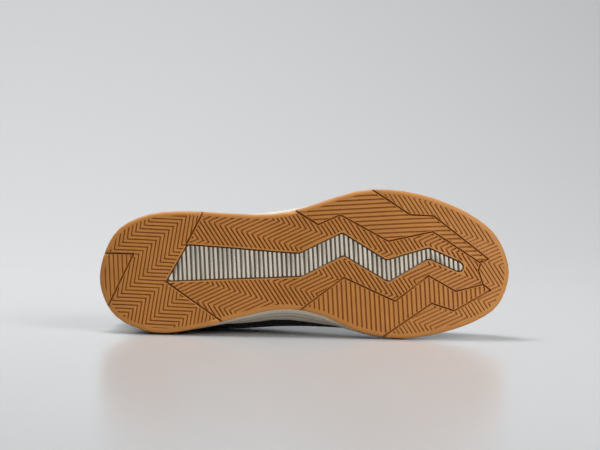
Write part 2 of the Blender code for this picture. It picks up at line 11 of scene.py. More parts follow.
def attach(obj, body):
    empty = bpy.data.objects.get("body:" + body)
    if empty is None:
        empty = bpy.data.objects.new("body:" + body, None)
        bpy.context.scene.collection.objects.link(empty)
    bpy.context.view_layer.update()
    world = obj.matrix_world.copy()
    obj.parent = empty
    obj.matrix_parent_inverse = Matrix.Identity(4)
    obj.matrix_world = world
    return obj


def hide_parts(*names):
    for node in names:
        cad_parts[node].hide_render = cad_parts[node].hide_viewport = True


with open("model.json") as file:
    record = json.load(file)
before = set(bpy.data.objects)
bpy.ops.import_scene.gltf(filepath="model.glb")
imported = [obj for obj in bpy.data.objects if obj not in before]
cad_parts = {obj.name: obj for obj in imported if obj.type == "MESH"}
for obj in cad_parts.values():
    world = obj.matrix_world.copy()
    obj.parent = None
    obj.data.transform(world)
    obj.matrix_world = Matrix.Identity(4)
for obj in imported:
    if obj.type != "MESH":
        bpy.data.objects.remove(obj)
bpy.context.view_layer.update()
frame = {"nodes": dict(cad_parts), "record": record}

# Outsole
# A plate of gum rubber, pressed hot in a steel mould that gives it its blocks and its fine ridges, and
# glued under the midsole. It is modelled in the shoe's own frame, in millimetres: x runs from the heel to
# the toe, y to the medial side and z up from the tread.
MM = 0.001
HEEL_TREAD_PLACE = Vector((45.0, 30.0, 0.0))
FOREFOOT_TREAD_PLACE = Vector((188.0, -46.0, 0.0))


def tread_axes(along, down):
    """A turn whose columns run along the tread, across it and down from it."""
    along = along.normalized()
    across = down.cross(along).normalized()
    return Matrix((along, across, along.cross(across))).transposed()


# The lying shoe's turn and place, from the two flat spots of the tread that the record gives as mounts
tread_mounts = {mount["name"]: mount for mount in frame["record"]["mounts"]}
heel_tread = Vector(tread_mounts["heel_tread"]["pos_m"])
forefoot_tread = Vector(tread_mounts["forefoot_tread"]["pos_m"])
tread_down = Vector(tread_mounts["heel_tread"]["axis"])
own_axes = tread_axes(FOREFOOT_TREAD_PLACE - HEEL_TREAD_PLACE, Vector((0.0, 0.0, -1.0)))
lying_axes = tread_axes(forefoot_tread - heel_tread, tread_down)
SHOE_TURN = lying_axes @ own_axes.transposed()
SHOE = (Matrix.Translation(heel_tread) @ SHOE_TURN.to_4x4() @ Matrix.Scale(MM, 4)
        @ Matrix.Translation(-HEEL_TREAD_PLACE))
JOIN_DISTANCE = 0.001
SLIVER_WIDTH = 0.004
LARGE_FACES_LEAD = 100


def copy_of_node(node):
    """The solid's mesh in the shoe's own frame, its loose triangles joined up."""
    bm = bmesh.new()
    bm.from_mesh(frame["nodes"][node].data)
    bm.transform(SHOE.inverted())
    bmesh.ops.remove_doubles(bm, verts=bm.verts, dist=JOIN_DISTANCE)
    return bm


def everything(bm):
    return bm.verts[:] + bm.edges[:] + bm.faces[:]


def only(kind, items):
    """The vertices, edges or faces among what an operator made."""
    return [item for item in items if isinstance(item, kind)]


def add_object(name, bm):
    mesh = bpy.data.meshes.new(name)
    bm.to_mesh(mesh)
    bm.free()
    obj = bpy.data.objects.new(name, mesh)
    bpy.context.scene.collection.objects.link(obj)
    return obj


def apply_modifiers(obj):
    """Makes the shape that the modifiers give the object's own."""
    graph = bpy.context.evaluated_depsgraph_get()
    made = bpy.data.meshes.new_from_object(obj.evaluated_get(graph))
    obj.modifiers.clear()
    obj.data = made


def carve(obj, tool, operation):
    """Cuts the tool out of the object, or keeps only what is inside it. The tool is used up."""
    modifier = obj.modifiers.new(tool.name, "BOOLEAN")
    modifier.object = tool
    modifier.operation = operation
    modifier.solver = "MANIFOLD"
    apply_modifiers(obj)
    bpy.data.objects.remove(tool)


def merge_slivers(obj):
    """Closes the hair cracks that a cut can leave."""
    bm = bmesh.new()
    bm.from_mesh(obj.data)
    bmesh.ops.remove_doubles(bm, verts=bm.verts, dist=SLIVER_WIDTH)
    bmesh.ops.dissolve_degenerate(bm, edges=bm.edges, dist=SLIVER_WIDTH)
    bm.to_mesh(obj.data)
    bm.free()


def lay_down(obj, sharp_degrees):
    """Takes a finished piece from the shoe's own frame to its place, shaded smooth up to an angle."""
    obj.data.transform(SHOE)
    obj.data.shade_smooth()
    obj.data.set_sharp_from_angle(angle=math.radians(sharp_degrees))
    shading = obj.modifiers.new("even_shading", "WEIGHTED_NORMAL")
    shading.keep_sharp = True
    shading.weight = LARGE_FACES_LEAD
    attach(obj, "root")


# Height of the tread over the floor of an upright shoe
HEEL_FLAT_START = 32.0
HEEL_FLAT_END = 95.0
BALL_FLAT_START = 165.0
BALL_FLAT_END = 212.0
SOLE_LENGTH = 301.5
HEEL_BEVEL = 6.0
ARCH_LIFT = 2.0
TOE_SPRING = 14.0
TOE_SPRING_POWER = 1.8


def ground(x):
    """Heel bevel, arch and toe spring at one place along the sole."""
    bevel = HEEL_BEVEL * max(0.0, (HEEL_FLAT_START - x) / HEEL_FLAT_START) ** 2
    waist = min(1.0, max(0.0, (x - HEEL_FLAT_END) / (BALL_FLAT_START - HEEL_FLAT_END)))
    spring = max(0.0, (x - BALL_FLAT_END) / (SOLE_LENGTH - BALL_FLAT_END))
    return bevel + ARCH_LIFT * math.sin(math.pi * waist) ** 2 + TOE_SPRING * spring**TOE_SPRING_POWER


# Corners of the window and of the tread's blocks, in millimetres: x, y
WINDOW_LATERAL_EDGE = (
    (64.4, -17.8), (146.5, -11.4), (178.3, -26.6), (210.5, -6.3), (241.7, -15.6), (269.0, -3.7),
)
WINDOW_MEDIAL_EDGE = (
    (265.8, 3.9), (241.7, -6.5), (211.8, 10.7), (179.2, -8.8), (149.0, 6.4), (48.6, 10.2),
)
LATERAL_BLOCK = (
    (138.6, -45.8), (160.5, -32.0), (176.9, -39.2), (212.0, -19.7), (244.9, -27.0), (280.0, -4.6),
)
LATERAL_BLOCK_FRONT = ((285.9, -7.7), (245.4, -38.7), (228.3, -39.3), (197.0, -60.0))
MEDIAL_BLOCK = (
    (144.5, 32.8), (179.3, 7.0), (216.8, 24.4), (241.5, 5.6), (261.6, 16.8), (282.0, 11.2),
)
MEDIAL_BLOCK_FRONT = ((287.4, 15.4), (260.3, 31.1), (243.7, 25.8), (204.5, 52.6))
HEEL_TIP_EDGE = ((-15.0, -12.3), (25.2, -10.5), (4.6, 31.8), (-1.6, 44.5))
LATERAL_HEEL_EDGE = ((84.0, -56.9), (64.4, -17.8))
MEDIAL_HEEL_EDGE = ((48.6, 10.2), (94.0, 42.1), (108.0, 52.1))
TOE_LINK = (278.4, 1.3)
STRAIGHT = 90.0

# The tread's panels and the ridges on each
# columns: corners; angle of the line that the bends lie on; angle from it to the ridges; width of the band
# between two such lines; a bend on one of them; spacing of the ridges; size of the grooves
TREAD_PANELS = {
    "heel_tip": ((*HEEL_TIP_EDGE, (-15.0, 44.5)), -3.0, STRAIGHT, 9.0, (4.1, 0.0), 3.24, 0.75),
    "heel": (
        (*HEEL_TIP_EDGE, (-1.6, 70.0), (108.0, 70.0), *MEDIAL_HEEL_EDGE[::-1], *LATERAL_HEEL_EDGE[::-1],
         (84.0, -70.0), (-15.0, -70.0)),
        -39.0, 42.0, 14.35, (70.4, -62.1), 2.7, 0.85,
    ),
    "waist": (
        (*LATERAL_HEEL_EDGE[:1], *WINDOW_LATERAL_EDGE, *WINDOW_MEDIAL_EDGE, *MEDIAL_HEEL_EDGE[1:],
         (112.0, 70.0), (125.0, 70.0), (130.0, 43.5), *MEDIAL_BLOCK, TOE_LINK, *LATERAL_BLOCK[::-1],
         (130.0, -51.2), (130.0, -70.0), (84.0, -70.0)),
        16.1, 41.0, 14.6, (147.2, -15.0), 2.7, 1.0,
    ),
    "toe": (
        (*LATERAL_BLOCK_FRONT[::-1], LATERAL_BLOCK[-1], TOE_LINK, MEDIAL_BLOCK[-1], *MEDIAL_BLOCK_FRONT,
         (204.5, 75.0), (330.0, 75.0), (330.0, -85.0), (197.0, -85.0)),
        16.1, 41.0, 14.6, (147.2, -15.0), 2.7, 0.75,
    ),
    "lateral_forefoot": (
        (*LATERAL_BLOCK, *LATERAL_BLOCK_FRONT),
        87.0, STRAIGHT, 9.0, (195.7, -53.5), 3.17, 0.9,
    ),
    "medial_forefoot": (
        (*MEDIAL_BLOCK, *MEDIAL_BLOCK_FRONT),
        -3.0, STRAIGHT, 9.0, (157.7, 28.2), 3.39, 0.9,
    ),
}
# Groove between two ridges: share of the ridges' step to each side, height over the tread
GROOVE_SECTION = ((0.40, -0.6), (0.19, 0.3), (0.14, 1.1))
PANEL_LAND = 1.0
SMOOTH_BORDER = 3.2
RIM_HEIGHT = 3.0
CLIP_REACH = 3.0
BEND_STEP = 4.0


def face_prism(bm, face, inset):
    """Moves a flat face's edges inwards and makes it a prism through the tread."""
    face.normal_update()
    rim = bmesh.ops.inset_region(bm, faces=[face], thickness=inset, use_boundary=True, use_even_offset=True)
    bmesh.ops.delete(bm, geom=rim["faces"], context="FACES")
    for vert in bm.verts:
        vert.co.z = -CLIP_REACH
    top = bmesh.ops.extrude_face_region(bm, geom=bm.faces[:])["geom"]
    bmesh.ops.translate(bm, verts=only(bmesh.types.BMVert, top), vec=(0.0, 0.0, 2 * CLIP_REACH))
    bmesh.ops.recalc_face_normals(bm, faces=bm.faces)


def tread_field():
    """The tread inside its smooth border, from the outline of the outsole laid flat."""
    bm = copy_of_node("outsole")
    for vert in bm.verts:
        vert.co.z -= ground(vert.co.x)
    cut = bmesh.ops.bisect_plane(bm, geom=everything(bm), plane_co=(0.0, 0.0, RIM_HEIGHT),
                                 plane_no=(0.0, 0.0, 1.0), clear_inner=True, clear_outer=True)["geom_cut"]
    heel_tip = min(only(bmesh.types.BMVert, cut), key=lambda vert: vert.co.x)
    loop = [heel_tip]
    last = None
    while True:
        edge = next(e for e in loop[-1].link_edges if e is not last)
        following = edge.other_vert(loop[-1])
        if following is heel_tip:
            break
        loop.append(following)
        last = edge
    bmesh.ops.delete(bm, geom=[v for v in bm.verts if v not in set(loop)], context="VERTS")
    face_prism(bm, bm.faces.new(loop), SMOOTH_BORDER)
    return add_object("tread_field", bm)


def panel_prism(corners):
    bm = bmesh.new()
    face_prism(bm, bm.faces.new([bm.verts.new((x, y, 0.0)) for x, y in corners]), PANEL_LAND)
    return add_object("panel", bm)


def ridge_grooves(name, corners, bend_angle, ridge_angle, band, bend, spacing, size):
    """Bars for the grooves of one panel, side by side. Each goes to and fro between the lines of bends."""
    turn = math.radians(bend_angle)
    slant = math.radians(ridge_angle)
    along = Vector((math.cos(turn), math.sin(turn), 0.0))
    across = Vector((-along.y, along.x, 0.0))
    sway = along * band / math.tan(slant)
    step = along * spacing / math.sin(slant)
    places = [Vector((x - bend[0], y - bend[1], 0.0)) for x, y in corners]
    lowest = 2 * math.floor(min(p.dot(across) for p in places) / band / 2)
    highest = math.ceil(max(p.dot(across) for p in places) / band)
    first = math.floor((min(p.dot(along) for p in places) - sway.length) / step.length)
    final = math.ceil(max(p.dot(along) for p in places) / step.length)
    bm = bmesh.new()
    start = Vector((*bend, 0.0)) + across * band * lowest + step * first
    section = [(half * size, z * size) for half, z in GROOVE_SECTION]
    sides = [(-half, z) for half, z in section] + section[::-1]
    end = bm.faces.new([bm.verts.new(start + step * share + Vector((0.0, 0.0, z))) for share, z in sides])
    for leg in range(highest - lowest):
        behind = end
        made = bmesh.ops.extrude_face_region(bm, geom=[behind])["geom"]
        end = only(bmesh.types.BMFace, made)[0]
        bmesh.ops.translate(bm, verts=end.verts, vec=across * band + sway * (-1) ** leg)
        if leg:
            bmesh.ops.delete(bm, geom=[behind], context="FACES_ONLY")
    bar = everything(bm)
    for number in range(1, final - first + 1):
        copied = bmesh.ops.duplicate(bm, geom=bar)["geom"]
        bmesh.ops.translate(bm, verts=only(bmesh.types.BMVert, copied), vec=step * number)
    bmesh.ops.recalc_face_normals(bm, faces=bm.faces)
    grooves = add_object(name + "_grooves", bm)
    carve(grooves, panel_prism(corners), "INTERSECT")
    carve(grooves, tread_field(), "INTERSECT")
    bm = bmesh.new()
    bm.from_mesh(grooves.data)
    for number in range(1, int(SOLE_LENGTH / BEND_STEP)):
        bmesh.ops.bisect_plane(bm, geom=everything(bm), plane_co=(number * BEND_STEP, 0.0, 0.0),
                               plane_no=(1.0, 0.0, 0.0))
    for vert in bm.verts:
        vert.co.z += ground(vert.co.x)
    bm.to_mesh(grooves.data)
    bm.free()
    return grooves


outsole = add_object("gum_outsole", copy_of_node("outsole"))
for panel_name, panel in TREAD_PANELS.items():
    carve(outsole, ridge_grooves(panel_name, *panel), "DIFFERENCE")
merge_slivers(outsole)
GROOVE_VIEW = 60.0
GROOVE_FLOOR = 0.7
GROOVE_SPREAD = 0.0
LOOK_START = 0.02
FACING_DOWN = -0.8


def sees_a_wall(tree, face, place, view):
    return tree.ray_cast(place + face.normal * LOOK_START, face.normal, view)[0] is not None


def mark_groove_shade(obj, view, floor, spread):
    """Gives a groove the piece's second material, a darker copy that paints the groove's shade: walls that
    look at one another, and floors that lie deep.

    The look is from the middle of a face and from places a share of the way to its corners.
    """
    bm = bmesh.new()
    bm.from_mesh(obj.data)
    bm.normal_update()
    tree = BVHTree.FromBMesh(bm)
    for face in bm.faces:
        middle = face.calc_center_median()
        sunk = middle.z - ground(middle.x)
        places = [middle] + [middle.lerp(vert.co, spread) for vert in face.verts if spread]
        facing_wall = any(sees_a_wall(tree, face, place, view) for place in places)
        face.material_index = int(facing_wall or (face.normal.z < FACING_DOWN and sunk > floor))
    bm.to_mesh(obj.data)
    bm.free()


def linear(hex_colour):
    """A linear colour from an sRGB hex value."""
    channels = [int(hex_colour[place:place + 2], 16) / 255 for place in (1, 3, 5)]
    return [c / 12.92 if c <= 0.04045 else ((c + 0.055) / 1.055) ** 2.4 for c in channels] + [1.0]


def new_material(name):
    """A material and its shader."""
    material = bpy.data.materials.new(name)
    material.use_nodes = True
    return material, material.node_tree.nodes["Principled BSDF"]


def set_node(node, settings, links):
    """Gives a node its settings, by its options or its sockets' names or numbers, and its links."""
    for name, value in settings.items():
        if isinstance(name, int) or name in node.inputs:
            node.inputs[name].default_value = value
        else:
            setattr(node, name, value)
    for name, source in links.items():
        node.id_data.links.new(source, node.inputs[name])
    return node


def add_node(material, kind, settings, links):
    return set_node(material.node_tree.nodes.new(kind), settings, links)


# Gum rubber, vulcanised in a mould with a fine matt grain: an even warm tan with a soft sheen, a little
# cloudy because the raw rubber isn't bleached. The grooves get a darker, browner copy of it: painted shade.
GUM_CLOUD = 14.0
GUM_GRAIN = 0.5
GUM_GRAIN_DEPTH = 0.1


def gum_rubber(name, dark, light):
    material, shader = new_material(name)
    place = add_node(material, "ShaderNodeTexCoord", {}, {}).outputs["Object"]
    cloud = add_node(material, "ShaderNodeTexNoise", {"Scale": 1 / (GUM_CLOUD * MM), "Detail": 3.0},
                     {"Vector": place})
    colour = add_node(material, "ShaderNodeMixRGB", {"Color1": linear(dark), "Color2": linear(light)},
                      {"Fac": cloud.outputs["Fac"]})
    grain = add_node(material, "ShaderNodeTexNoise", {"Scale": 1 / (GUM_GRAIN * MM), "Detail": 2.0},
                     {"Vector": place})
    bump = add_node(material, "ShaderNodeBump", {"Strength": 0.25, "Distance": GUM_GRAIN_DEPTH * MM},
                    {"Height": grain.outputs["Fac"]})
    set_node(shader, {"Roughness": 0.55, "IOR": 1.52},
             {"Base Color": colour.outputs["Color"], "Normal": bump.outputs["Normal"]})
    return material


def put_on(obj, *materials):
    obj.data.materials.clear()
    for material in materials:
        obj.data.materials.append(material)


# The second material is painted shade: a darker, browner copy of the rubber on the grooves' walls and floors
put_on(outsole, gum_rubber("vulcanised_gum_rubber", "#C47F36", "#D69042"),
       gum_rubber("gum_rubber_painted_groove_shade", "#A8621F", "#B56D27"))
mark_groove_shade(outsole, GROOVE_VIEW, GROOVE_FLOOR, GROOVE_SPREAD)
lay_down(outsole, sharp_degrees=45.0)
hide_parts("outsole")

# Midsole
# A block of foam, moulded with grooves round its side and a ribbed pad that fills the outsole's window.
# The upper is glued onto its top.
RIB_VIEW = 2.5
RIB_FLOOR = 1.6
RIB_SPREAD = 0.8
midsole = add_object("foam_midsole", copy_of_node("midsole"))

# EVA foam, moulded under heat: a matt, slightly cloudy off-white skin with a fine pebble. A greyer copy of
# it is painted shade, down between the ribs and in the grooves
FOAM_CLOUD = 30.0
FOAM_PEBBLE = 0.7
FOAM_PEBBLE_DEPTH = 0.12


def moulded_foam(name, dark, light):
    material, shader = new_material(name)
    place = add_node(material, "ShaderNodeTexCoord", {}, {}).outputs["Object"]
    cloud = add_node(material, "ShaderNodeTexNoise", {"Scale": 1 / (FOAM_CLOUD * MM), "Detail": 4.0},
                     {"Vector": place})
    colour = add_node(material, "ShaderNodeMixRGB", {"Color1": linear(dark), "Color2": linear(light)},
                      {"Fac": cloud.outputs["Fac"]})
    pebble = add_node(material, "ShaderNodeTexVoronoi", {"Scale": 1 / (FOAM_PEBBLE * MM)},
                      {"Vector": place})
    bump = add_node(material, "ShaderNodeBump", {"Strength": 0.3, "Distance": FOAM_PEBBLE_DEPTH * MM},
                    {"Height": pebble.outputs["Distance"]})
    set_node(shader, {"Roughness": 0.7},
             {"Base Color": colour.outputs["Color"], "Normal": bump.outputs["Normal"]})
    return material


# The second material is painted shade: a greyer copy of the foam on the walls and floors between the ribs
# and in the side grooves
put_on(midsole, moulded_foam("moulded_eva_foam", "#E5DAC8", "#EEE4D4"),
       moulded_foam("eva_foam_painted_rib_shade", "#ABA08D", "#B7AC99"))
mark_groove_shade(midsole, RIB_VIEW, RIB_FLOOR, RIB_SPREAD)
lay_down(midsole, sharp_degrees=30.0)
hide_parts("midsole")

# Upper
# A sock of black polyester yarn, knitted to shape in one piece with a padded collar and a soft lining. It is
# pulled over the last and glued onto the midsole, and the eyelets are punched through it.
ROUNDING = 2
FEATHER_CREASE = math.radians(50.0)
PAIR_ANGLE = math.radians(70.0)


def rounded_copy(name, node):
    """A copy of a soft solid: its triangles are paired, its facets rounded, its sole edge kept sharp."""
    bm = copy_of_node(node)
    bmesh.ops.join_triangles(bm, faces=bm.faces, angle_face_threshold=PAIR_ANGLE,
                             angle_shape_threshold=PAIR_ANGLE)
    bm.normal_update()
    crease = bm.edges.layers.float.new("crease_edge")
    for edge in bm.edges:
        sole_edge = any(face.normal.z < FACING_DOWN for face in edge.link_faces)
        if sole_edge and edge.calc_face_angle(0.0) > FEATHER_CREASE:
            edge[crease] = 1.0
    obj = add_object(name, bm)
    rounding = obj.modifiers.new("rounding", "SUBSURF")
    rounding.levels = rounding.render_levels = ROUNDING
    apply_modifiers(obj)
    return obj


upper = rounded_copy("knit_upper", "upper")

# Eyelets: the top and the front one of each side, in millimetres, and their number
EYELETS = {
    "medial": ((130.5, 25.8, 93.1), (194.8, 17.6, 70.0)),
    "lateral": ((133.7, -28.4, 91.2), (197.8, -20.8, 68.1)),
}
EYELET_PAIRS = 6
EYELET_HOLE = 2.3
EYELET_CUT = 9.0
HOLE_SIDES = 20
skin = BVHTree.FromObject(upper, bpy.context.evaluated_depsgraph_get())
eyelets = {}
for side, (top, front) in EYELETS.items():
    for pair in range(EYELET_PAIRS):
        place, outward = skin.find_nearest(Vector(top).lerp(Vector(front), pair / (EYELET_PAIRS - 1)))[:2]
        turn = outward.to_track_quat("Z", "X").to_matrix().to_4x4()
        eyelets[side, pair] = Matrix.Translation(place) @ turn

# Knit rows laid over the upper, in millimetres: along the side and up over the foot, turning round the heel
# and the toe
KNIT_MIDDLE = 125.0
KNIT_TURN = 90.0


def lay_knit(obj):
    """Gives a knitted piece its rows and stitches as a map in millimetres."""
    bm = bmesh.new()
    bm.from_mesh(obj.data)
    rows = bm.loops.layers.uv.new("knit")
    for face in bm.faces:
        for loop in face.loops:
            x, y, z = loop.vert.co
            turn = min(1.0, max(-1.0, (x - KNIT_MIDDLE) / KNIT_TURN))
            loop[rows].uv = (x - abs(y) * turn, z - abs(y))
    bm.to_mesh(obj.data)
    bm.free()


lay_knit(upper)

# The lining is on the faces that look into the shoe
LOOK_IN_START = 8.0
LOOK_IN_REACH = 200.0
inside = bmesh.new()
for node in ("upper", "insole", "tongue"):
    inside.from_mesh(frame["nodes"][node].data)
inside.transform(SHOE.inverted())
inside_tree = BVHTree.FromBMesh(inside)
inside.free()
for face in upper.data.polygons:
    seen = inside_tree.ray_cast(face.center + face.normal * LOOK_IN_START, face.normal, LOOK_IN_REACH)[0]
    face.material_index = int(seen is not None)

holes = bmesh.new()
for place in eyelets.values():
    bmesh.ops.create_cone(holes, cap_ends=True, segments=HOLE_SIDES, radius1=EYELET_HOLE,
                          radius2=EYELET_HOLE, depth=EYELET_CUT, matrix=place)
carve(upper, add_object("eyelet_holes", holes), "DIFFERENCE")

# Black polyester knit: rows of small matt loops, so light catches the yarn and sinks into the gaps. The
# loops are drawn about twice as coarse as they are, because the real ones are too fine to show.
WALE = 3.0
COURSE = 2.4
LOOP_SLANT = 0.9
ROW_SHARE = 0.5
LOOP_DEPTH = 0.35


def knit_fabric(name, dark, light, wale, course):
    """Stacked V-shaped loops from the piece's knit map."""
    material, shader = new_material(name)
    knit_map = add_node(material, "ShaderNodeUVMap", {"uv_map": "knit"}, {})
    split = add_node(material, "ShaderNodeSeparateXYZ", {}, {"Vector": knit_map.outputs["UV"]})
    leg = add_node(material, "ShaderNodeMath", {"operation": "PINGPONG", 1: wale / 2},
                   {0: split.outputs["X"]})
    column = add_node(material, "ShaderNodeMath", {"operation": "MULTIPLY", 1: 2 * math.pi / wale},
                      {0: leg.outputs[0]})
    round_leg = add_node(material, "ShaderNodeMath", {"operation": "SINE"}, {0: column.outputs[0]})
    slant = add_node(material, "ShaderNodeMath", {"operation": "MULTIPLY_ADD", 1: LOOP_SLANT},
                     {0: leg.outputs[0], 2: split.outputs["Y"]})
    row = add_node(material, "ShaderNodeMath", {"operation": "MULTIPLY", 1: 2 * math.pi / course},
                   {0: slant.outputs[0]})
    round_row = add_node(material, "ShaderNodeMath", {"operation": "SINE"}, {0: row.outputs[0]})
    loops = add_node(material, "ShaderNodeMath", {"operation": "MULTIPLY_ADD", 1: ROW_SHARE},
                     {0: round_row.outputs[0], 2: round_leg.outputs[0]})
    colour = add_node(material, "ShaderNodeMixRGB", {"Color1": linear(dark), "Color2": linear(light)},
                      {"Fac": loops.outputs[0]})
    bump = add_node(material, "ShaderNodeBump", {"Strength": 0.7, "Distance": LOOP_DEPTH * MM},
                    {"Height": loops.outputs[0]})
    set_node(shader, {"Roughness": 0.82, "Sheen Weight": 0.12},
             {"Base Color": colour.outputs["Color"], "Normal": bump.outputs["Normal"]})
    return material


# Brushed lining: a short dark nap that hides its own weave
NAP = 1.2
NAP_DEPTH = 0.2
lining, lining_shader = new_material("brushed_polyester_lining")
lining_place = add_node(lining, "ShaderNodeTexCoord", {}, {}).outputs["Object"]
nap = add_node(lining, "ShaderNodeTexNoise", {"Scale": 1 / (NAP * MM), "Detail": 4.0},
               {"Vector": lining_place})
nap_colour = add_node(lining, "ShaderNodeMixRGB",
                      {"Color1": linear("#141416"), "Color2": linear("#242428")},
                      {"Fac": nap.outputs["Fac"]})
nap_bump = add_node(lining, "ShaderNodeBump", {"Strength": 0.4, "Distance": NAP_DEPTH * MM},
                    {"Height": nap.outputs["Fac"]})
set_node(lining_shader, {"Roughness": 0.95, "Sheen Weight": 0.2},
         {"Base Color": nap_colour.outputs["Color"], "Normal": nap_bump.outputs["Normal"]})
put_on(upper, knit_fabric("black_polyester_knit", "#0D0D0F", "#1D1D20", WALE, COURSE), lining)
lay_down(upper, sharp_degrees=60.0)
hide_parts("upper")

# Seams of the upper
# Two rows of lock stitches in black thread run round the collar and throat and hold lining and padding, and
# each eyelet is overcast with the same thread.

# The top edge of the upper from the heel round the medial side, in millimetres: x, y, z
TOP_EDGE = (
    (10.0, 2.5, 96.0), (30.0, 29.0, 89.0), (68.0, 36.5, 76.0), (100.0, 33.0, 84.0),
    (121.0, 24.0, 98.0), (160.0, 17.5, 86.0), (195.0, 12.0, 71.0), (204.0, 9.0, 67.5),
    (208.5, -1.5, 65.5), (204.0, -12.0, 67.5), (195.0, -15.0, 71.0), (160.0, -20.5, 86.0),
    (121.0, -27.0, 97.0), (100.0, -34.0, 82.0), (68.0, -34.0, 73.0), (30.0, -25.0, 88.0),
)
SPAN_POINTS = 12
HANDLE_PART = 6


def smooth_path(points, closed):
    """Points on a smooth curve through a few points. Each handle is a part of the chord round its point."""
    points = [Vector(p) for p in points]
    count = len(points)

    def point(number):
        return points[number % count if closed else min(max(number, 0), count - 1)]

    path = []
    for number in range(count if closed else count - 1):
        here = point(number)
        there = point(number + 1)
        leave = here + (there - point(number - 1)) / HANDLE_PART
        arrive = there - (point(number + 2) - here) / HANDLE_PART
        path += interpolate_bezier(here, leave, arrive, there, SPAN_POINTS)[:-1]
    return path if closed else path + [points[-1]]


def even_steps(path, step):
    """Places on a closed path an even step apart, with the direction there."""
    left = 0.0
    for here, there in zip(path, path[1:] + path[:1]):
        run = there - here
        while left < run.length:
            yield here + run.normalized() * left, run.normalized()
            left += step
        left -= run.length


SEAM_INSETS = (3.6, 13.0)
SEAM_OUT = 0.7
SEAM_DOWN = 0.7
STITCH_STEP = 3.4
STITCH_SIZE = (2.5, 0.7, 0.5)
STITCH_SUNK = 0.1
STITCH_SIDES = 6
STITCH_RINGS = 4
top_edge = smooth_path(TOP_EDGE, closed=True)
seams = bmesh.new()
for inset in SEAM_INSETS:
    for place, run in even_steps(top_edge, STITCH_STEP):
        outwards = Vector((-run.y, run.x, 0.0)).normalized()
        reach = outwards * inset * SEAM_OUT - Vector((0.0, 0.0, inset * SEAM_DOWN))
        seat, outward = skin.find_nearest(place + reach)[:2]
        across = outward.cross(run).normalized()
        turn = Matrix((across.cross(outward), across, outward)).transposed().to_4x4()
        lie = Matrix.Translation(seat - outward * STITCH_SUNK) @ turn @ Matrix.Diagonal((*STITCH_SIZE, 1.0))
        bmesh.ops.create_uvsphere(seams, u_segments=STITCH_SIDES, v_segments=STITCH_RINGS, radius=1 / 2,
                                  matrix=lie)
RING_THICKNESS = 0.75
RING_SIDES = 8
ring = bmesh.new()
ring_place = Matrix.Translation((EYELET_HOLE + RING_THICKNESS / 2, 0.0, 0.0))
circle = bmesh.ops.create_circle(ring, segments=RING_SIDES, radius=RING_THICKNESS,
                                 matrix=ring_place @ Matrix.Rotation(math.pi / 2, 4, "X"))["verts"]
bmesh.ops.spin(ring, geom=circle + ring.edges[:], cent=(0.0, 0.0, 0.0), axis=(0.0, 0.0, 1.0),
               angle=2 * math.pi, steps=HOLE_SIDES, use_merge=True)
bmesh.ops.recalc_face_normals(ring, faces=ring.faces)
ring_mesh = bpy.data.meshes.new("eyelet_ring")
ring.to_mesh(ring_mesh)
ring.free()
for place in eyelets.values():
    before = set(seams.verts)
    seams.from_mesh(ring_mesh)
    bmesh.ops.transform(seams, matrix=place, verts=[v for v in seams.verts if v not in before])
stitching = add_object("seam_stitches", seams)

# Twisted polyester thread: smooth black, with a faint gleam along the twist painted into its colour as
# lighter bands
TWIST = 0.6
thread, thread_shader = new_material("twisted_polyester_thread")
thread_place = add_node(thread, "ShaderNodeTexCoord", {}, {}).outputs["Object"]
twist = add_node(thread, "ShaderNodeTexWave",
                 {"Scale": 1 / (TWIST * MM) / (2 * math.pi), "Distortion": 2.0}, {"Vector": thread_place})
thread_colour = add_node(thread, "ShaderNodeMixRGB",
                         {"Color1": linear("#26262A"), "Color2": linear("#3E3E44")},
                         {"Fac": twist.outputs["Fac"]})
set_node(thread_shader, {"Roughness": 0.5}, {"Base Color": thread_colour.outputs["Color"]})
put_on(stitching, thread)
lay_down(stitching, sharp_degrees=80.0)

# Insole
# A cut sheet of soft foam faced with brushed cloth. It lies loose on the midsole.
insole = rounded_copy("cushioned_insole", "insole")

# Brushed cloth: a dull charcoal face whose small even weave shows as soft dots
WEAVE = 1.6
WEAVE_DEPTH = 0.2
cloth, cloth_shader = new_material("brushed_insole_cloth")
cloth_place = add_node(cloth, "ShaderNodeTexCoord", {}, {}).outputs["Object"]
weave = add_node(cloth, "ShaderNodeTexVoronoi", {"Scale": 1 / (WEAVE * MM), "Randomness": 0.3},
                 {"Vector": cloth_place})
cloth_colour = add_node(cloth, "ShaderNodeMixRGB",
                        {"Color1": linear("#2C2C30"), "Color2": linear("#1C1C1F")},
                        {"Fac": weave.outputs["Distance"]})
cloth_bump = add_node(cloth, "ShaderNodeBump", {"Strength": 0.5, "Distance": WEAVE_DEPTH * MM},
                      {"Height": weave.outputs["Distance"]})
set_node(cloth_shader, {"Roughness": 0.92},
         {"Base Color": cloth_colour.outputs["Color"], "Normal": cloth_bump.outputs["Normal"]})
put_on(insole, cloth)
lay_down(insole, sharp_degrees=60.0)
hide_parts("insole")

# Tongue
# A strip of the upper's knit in a finer gauge, with thin foam inside, sewn under the vamp in front of the
# throat. Two sewn channels along it keep the foam in place.
TONGUE_SWELL = 0.9
TONGUE_MESH = 1.1
EDGE_ROUNDING = 30
CHANNELS = (-9.0, 9.0)
CHANNEL_WIDTH = 1.6
CHANNEL_DEPTH = 0.9
CHANNEL_FADE = 4
THROAT_MIDDLE = -2.0
THROAT_UP = Vector((0.26, 0.0, 0.966))
TONGUE_GAUGE = 0.8
tongue = add_object("padded_tongue", copy_of_node("tongue"))
swell = tongue.modifiers.new("swell", "DISPLACE")
swell.strength = TONGUE_SWELL
swell.mid_level = 0.0
even_mesh = tongue.modifiers.new("even_mesh", "REMESH")
even_mesh.mode = "VOXEL"
even_mesh.voxel_size = TONGUE_MESH
soft_edges = tongue.modifiers.new("soft_edges", "SMOOTH")
soft_edges.iterations = EDGE_ROUNDING
apply_modifiers(tongue)
